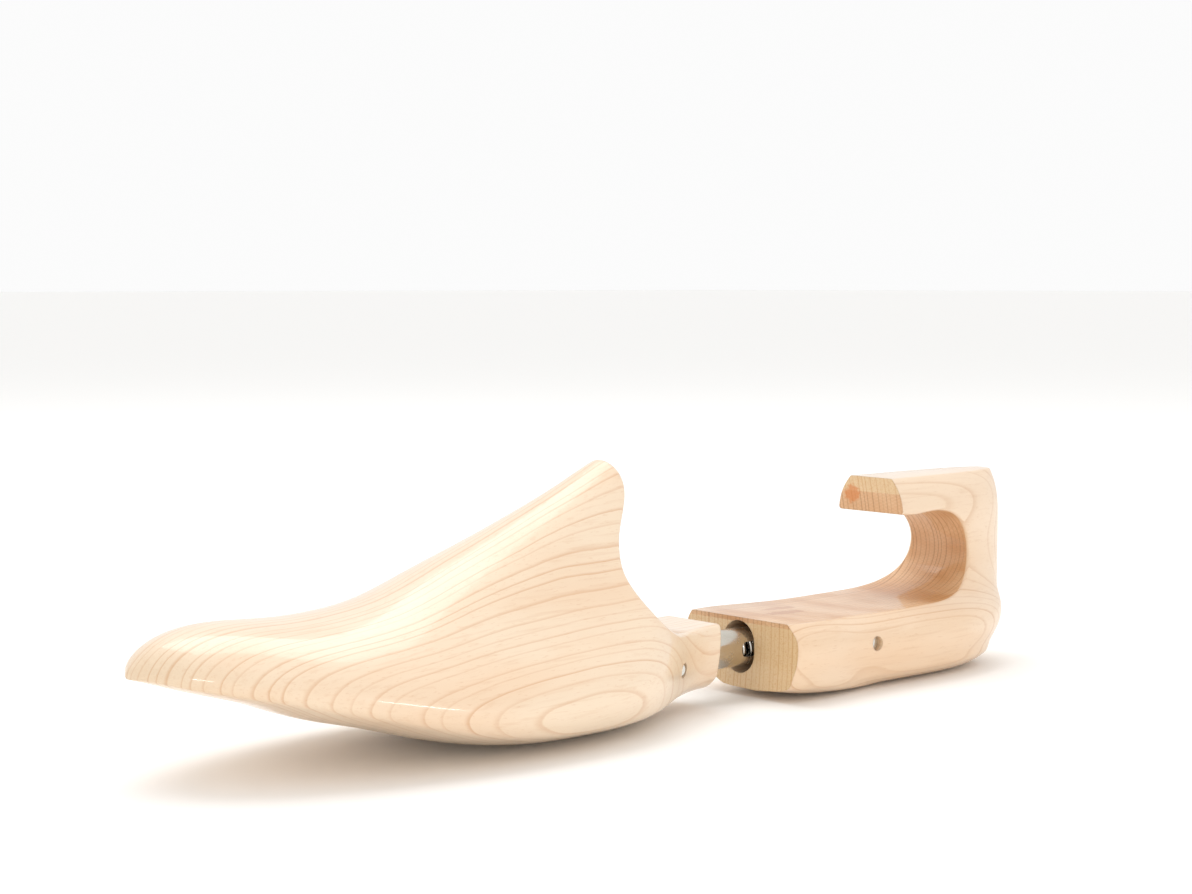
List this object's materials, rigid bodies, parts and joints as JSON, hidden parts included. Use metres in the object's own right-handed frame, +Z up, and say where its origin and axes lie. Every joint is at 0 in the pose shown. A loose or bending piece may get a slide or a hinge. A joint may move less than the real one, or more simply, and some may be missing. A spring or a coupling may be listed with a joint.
{
  "type": "shoe tree",
  "caption": "Spring-loaded wooden shoe tree: a carved forepart and a hooked heel block joined by a slotted steel tube, pushed apart by a coil spring.",
  "frame": {"origin": "middle of the whole part's bounding box across and along, at the level of the floor it stands on", "axes": "X runs from the toe (-X) to the heel (+X) along the tube, Y runs from the outer side (-Y) to the inner side (+Y) of a left shoe, Z is up"},
  "size_m": [0.3285, 0.0808, 0.0773],
  "materials": {
    "forepart_wood": "pale maple, smooth, clear satin lacquer",
    "heel_wood": "pale maple, smooth, clear satin lacquer, saw marks inside the hook",
    "tube_steel": "satin nickel plate",
    "pin_steel": "bright drawn steel",
    "plug_steel": "turned steel, lightly oiled",
    "spring_wire": "bright spring wire"
  },
  "bodies": {
    "forepart": {"forepart_block": "forepart_wood", "spring_tube": "tube_steel", "forepart_cross_pin": "pin_steel", "front_spring_seat": "plug_steel", "compression_spring": "spring_wire"},
    "plunger": {"spring_plunger": "plug_steel"},
    "heel": {"heel_block": "heel_wood", "heel_cross_pin": "pin_steel"}
  },
  "joints": [
    {"name": "plunger_slide", "type": "slide", "parent": "forepart", "child": "plunger", "axis": [-1, 0, 0], "range_m": [0, 0.018], "stiffness_N_per_m": 1200, "springref_m": -0.012, "deforming": ["compression_spring"]},
    {"name": "heel_rock", "type": "hinge", "parent": "plunger", "child": "heel", "pos_m": [0.0761, -0.0056, 0.0155], "axis": [0, 1, 0], "range_deg": [-2.5, 2.5]}
  ]
}
